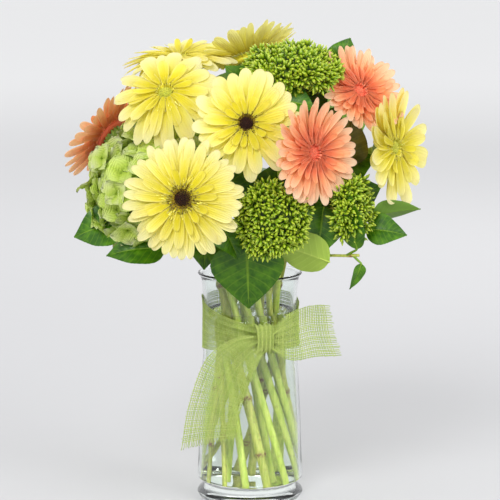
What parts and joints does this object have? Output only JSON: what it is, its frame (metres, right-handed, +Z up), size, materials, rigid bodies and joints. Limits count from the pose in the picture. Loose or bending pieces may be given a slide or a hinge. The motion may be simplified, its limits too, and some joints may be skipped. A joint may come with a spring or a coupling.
{
  "type": "gerbera bouquet in a glass vase",
  "caption": "Hand-tied gerberas, green hydrangeas and salal leaves standing in a clear glass vase of water, with a burlap ribbon knotted round its neck.",
  "frame": {"origin": "centre of the vase's flat underside", "axes": "+Z up along the vase's axis, -Y towards the front where the ribbon is knotted, +X to the right seen from the front"},
  "size_m": [0.3269, 0.2666, 0.433],
  "materials": {
    "glass": "gloss",
    "water": "gloss",
    "burlap": "matte",
    "yellow_petal": "satin",
    "coral_petal": "satin",
    "dark_eye": "matte",
    "green_eye": "matte",
    "coral_eye": "matte",
    "gerbera_stem": "satin",
    "woody_stem": "matte",
    "pale_floret": "satin",
    "lime_bud": "satin",
    "leaf": "satin"
  },
  "bodies": {
    "root": {"coral_gerbera_1_eye": "coral_eye", "coral_gerbera_1_petals": "coral_petal", "coral_gerbera_1_stem": "gerbera_stem", "coral_gerbera_2_eye": "coral_eye", "coral_gerbera_2_petals": "coral_petal", "coral_gerbera_2_stem": "gerbera_stem", "coral_gerbera_3_eye": "coral_eye", "coral_gerbera_3_petals": "coral_petal", "coral_gerbera_3_stem": "gerbera_stem", "hydrangea_head": "pale_floret", "hydrangea_stem": "woody_stem", "leaf_back_1": "leaf", "leaf_back_2": "leaf", "leaf_back_3": "leaf", "leaf_back_4": "leaf", "leaf_back_5": "leaf", "leaf_back_6": "leaf", "leaf_front": "leaf", "leaf_front_left": "leaf", "leaf_left": "leaf", "leaf_left_low": "leaf", "leaf_middle_right": "leaf", "leaf_right_dark": "leaf", "leaf_right_lower": "leaf", "leaf_right_pale": "leaf", "leaf_right_upper": "leaf", "leaf_top_right": "leaf", "leaf_twig_down": "leaf", "leaf_twig_up": "leaf", "leaf_under_top": "leaf", "mini_hydrangea_1_head": "lime_bud", "mini_hydrangea_1_stem": "woody_stem", "mini_hydrangea_2_head": "lime_bud", "mini_hydrangea_2_stem": "woody_stem", "mini_hydrangea_3_head": "lime_bud", "mini_hydrangea_3_stem": "woody_stem", "ribbon": "burlap", "salal_stem_back_left": "woody_stem", "salal_stem_back_right": "woody_stem", "salal_twig_right": "woody_stem", "vase": "glass", "water": "water", "yellow_gerbera_1_eye": "dark_eye", "yellow_gerbera_1_petals": "yellow_petal", "yellow_gerbera_1_stem": "gerbera_stem", "yellow_gerbera_2_eye": "dark_eye", "yellow_gerbera_2_petals": "yellow_petal", "yellow_gerbera_2_stem": "gerbera_stem", "yellow_gerbera_3_eye": "green_eye", "yellow_gerbera_3_petals": "yellow_petal", "yellow_gerbera_3_stem": "gerbera_stem", "yellow_gerbera_4_eye": "green_eye", "yellow_gerbera_4_petals": "yellow_petal", "yellow_gerbera_4_stem": "gerbera_stem", "yellow_gerbera_5_eye": "green_eye", "yellow_gerbera_5_petals": "yellow_petal", "yellow_gerbera_5_stem": "gerbera_stem", "yellow_gerbera_6_eye": "green_eye", "yellow_gerbera_6_petals": "yellow_petal", "yellow_gerbera_6_stem": "gerbera_stem"}
  },
  "joints": []
}
